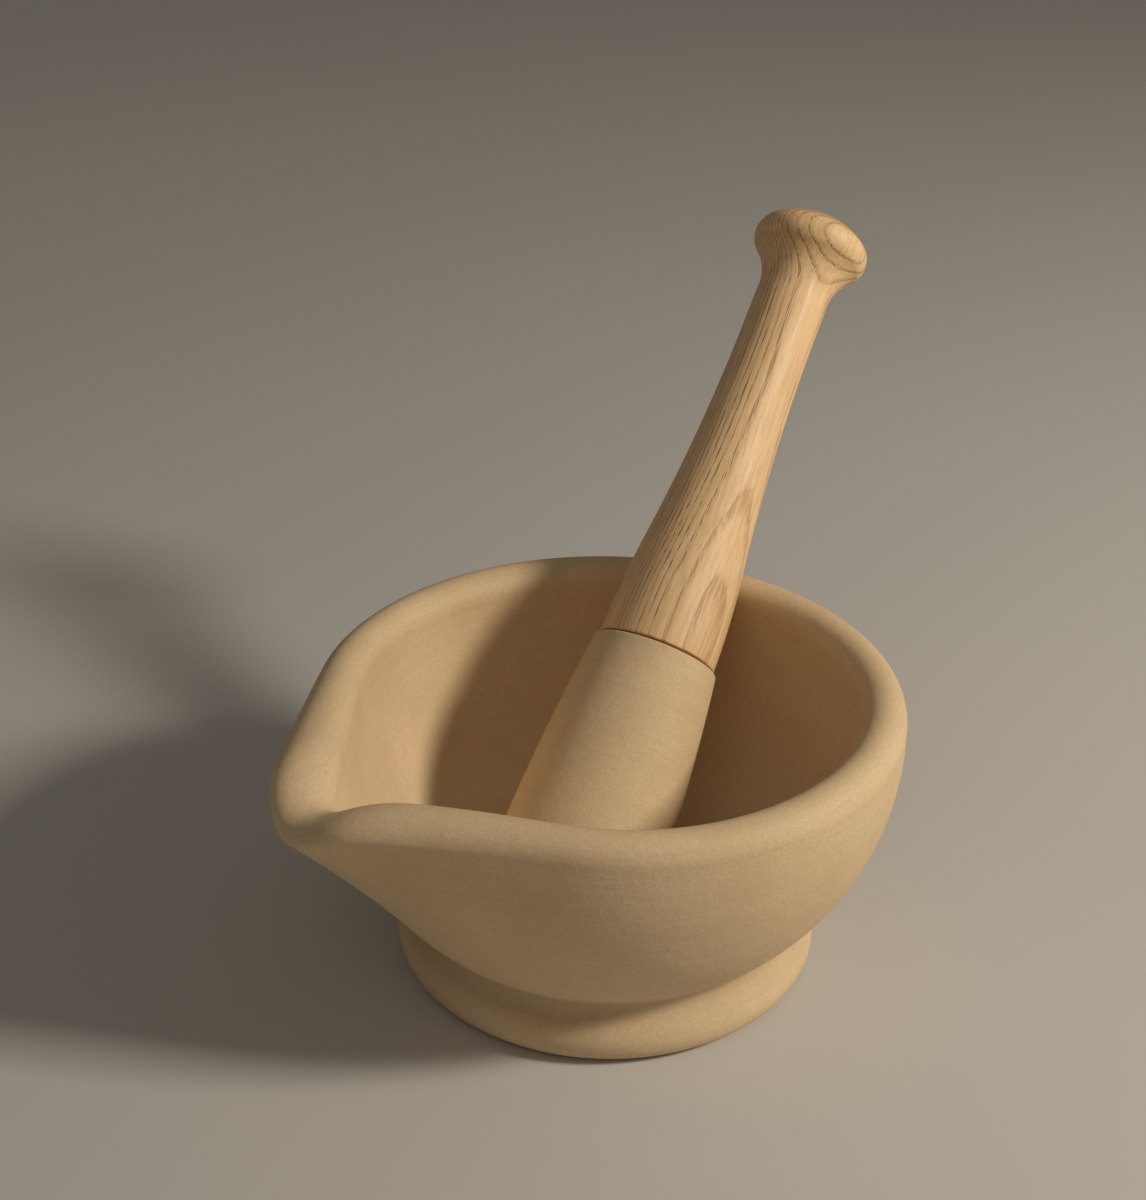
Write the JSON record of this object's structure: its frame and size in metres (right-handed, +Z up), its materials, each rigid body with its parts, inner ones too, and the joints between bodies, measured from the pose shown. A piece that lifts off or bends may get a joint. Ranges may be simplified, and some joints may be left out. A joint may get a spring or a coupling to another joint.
{
  "type": "mortar and pestle",
  "caption": "Ceramic mortar with a pouring spout and a ceramic-headed pestle on a turned wooden handle.",
  "frame": {"origin": "on the mortar's axis at the level of the sole of its foot", "axes": "+Z up along the mortar's axis; the pestle leans towards +X and +Y, and the spout points towards -X and -Y"},
  "size_m": [0.1704, 0.2224, 0.1863],
  "materials": {
    "mortar_ceramic": "unglazed fine-grained cream stoneware, matte",
    "pestle_ceramic": "unglazed fine-grained cream stoneware, matte",
    "handle_wood": "turned open-grained ash, sanded, unvarnished",
    "cement": "set adhesive, dark brown, matte"
  },
  "bodies": {
    "mortar": {"mortar_bowl": "mortar_ceramic"},
    "pestle": {"pestle_head": "pestle_ceramic", "pestle_handle": "handle_wood", "handle_cement": "cement"}
  },
  "joints": [
    {"name": "pestle_lift", "type": "slide", "parent": "mortar", "child": "pestle", "axis": [0, 0, 1], "range_m": [0, 0.12]}
  ]
}
